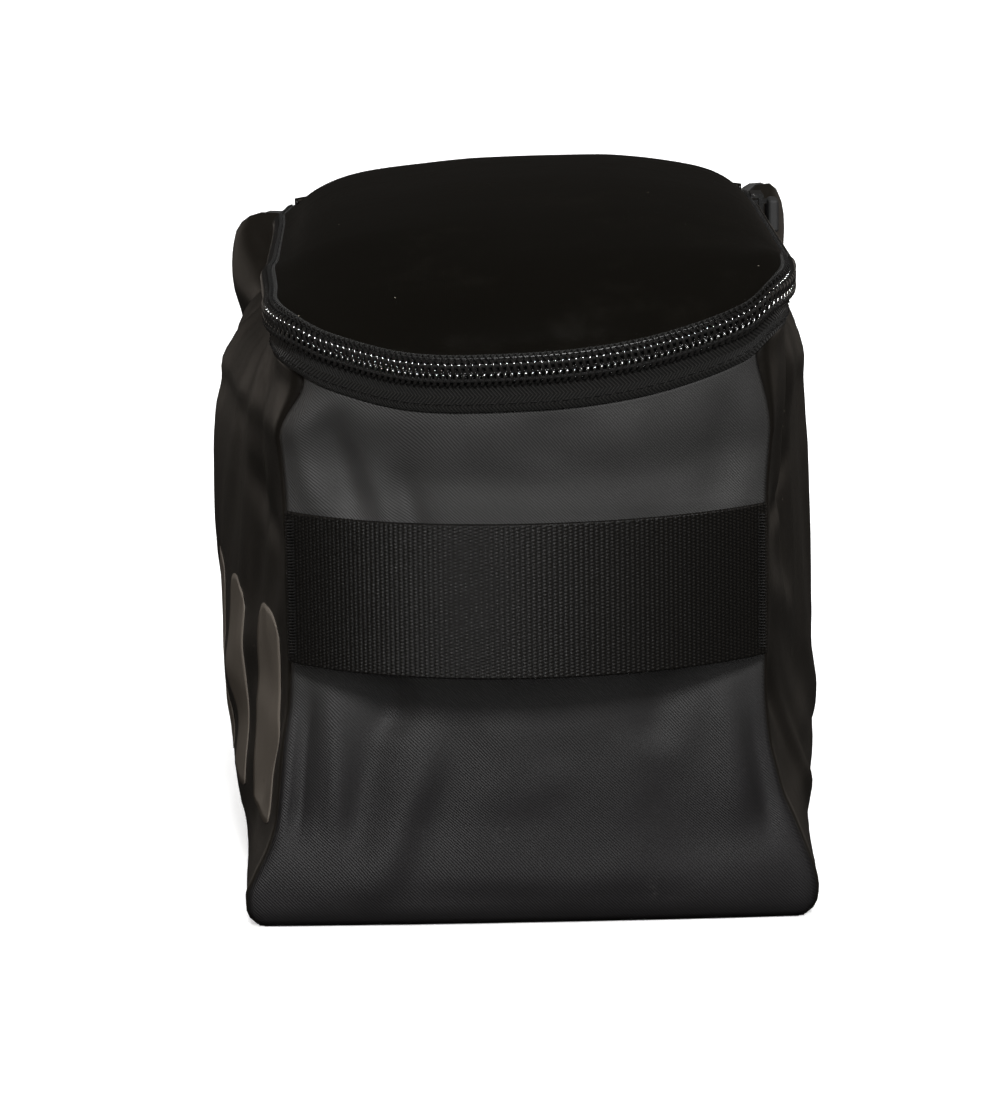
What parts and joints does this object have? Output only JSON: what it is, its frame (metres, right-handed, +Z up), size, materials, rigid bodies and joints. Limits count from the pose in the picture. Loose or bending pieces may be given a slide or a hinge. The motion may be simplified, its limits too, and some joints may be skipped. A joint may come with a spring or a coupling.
{
  "type": "zip-top carry bag",
  "caption": "Soft box-shaped cloth bag with a domed lid, a coil zip round three sides of the lid and a flat webbing handle across its front end.",
  "frame": {"origin": "on the ground under the middle of the bag's overall box", "axes": "+Z up, -Y out of the front end with the handle, +X to the right as seen from the front"},
  "size_m": [0.1688, 0.2911, 0.178],
  "materials": {
    "coated_twill": "matt coated twill, dark grey",
    "gloss_cloth": "glossy coated cloth, black",
    "lining": "plain nylon lining, black",
    "binding": "ribbed binding tape, black",
    "zip_tape": "woven polyester zip tape, black",
    "zip_coil": "nylon coil, black, shiny",
    "webbing": "ribbed polypropylene webbing, black",
    "stitching": "sewing thread, black",
    "print_film": "matt printed film, grey brown",
    "stiffener": "hollow plastic board",
    "slider_metal": "black enamelled zinc",
    "pull_rubber": "moulded, matt"
  },
  "bodies": {
    "shell": {"front_panel": "coated_twill", "rear_panel": "coated_twill", "left_side_panel": "gloss_cloth", "right_side_panel": "gloss_cloth", "base_panel": "coated_twill", "base_board": "stiffener", "lining_front": "lining", "lining_rear": "lining", "lining_left": "lining", "lining_right": "lining", "lining_floor": "lining", "base_seam_binding": "binding", "seam_binding_front_left": "binding", "seam_binding_front_right": "binding", "seam_binding_rear_left": "binding", "seam_binding_rear_right": "binding", "zip_tape_lower": "zip_tape", "zip_coil_lower": "zip_coil", "zip_bottom_stop": "zip_coil", "zip_top_stop_lower": "zip_coil", "zip_end_tab_left": "zip_tape", "zip_end_tab_right": "zip_tape", "hinge_strip": "gloss_cloth", "handle_webbing": "webbing", "handle_bartacks": "stitching", "side_print": "print_film"},
    "lid": {"lid_panel": "gloss_cloth", "lid_lining": "lining", "lid_seam_binding": "binding", "zip_guard_flap": "lining", "zip_tape_upper": "zip_tape", "zip_coil_upper": "zip_coil", "zip_top_stop_upper": "zip_coil"},
    "slider": {"slider_body": "slider_metal", "slider_bridge": "slider_metal"},
    "pull": {"pull_tab": "slider_metal", "pull_grip": "pull_rubber"}
  },
  "joints": [
    {"name": "lid_hinge", "type": "hinge", "parent": "shell", "child": "lid", "pos_m": [0, 0.1397, 0.1632], "axis": [-1, 0, 0], "range_deg": [0, 105]},
    {"name": "zip_slide", "type": "slide", "parent": "shell", "child": "slider", "axis": [0, -1, 0], "range_m": [0, 0.165]},
    {"name": "pull_flip", "type": "hinge", "parent": "slider", "child": "pull", "pos_m": [0.0736, 0.1062, 0.157], "axis": [0, 0, 1], "range_deg": [0, 165]}
  ]
}
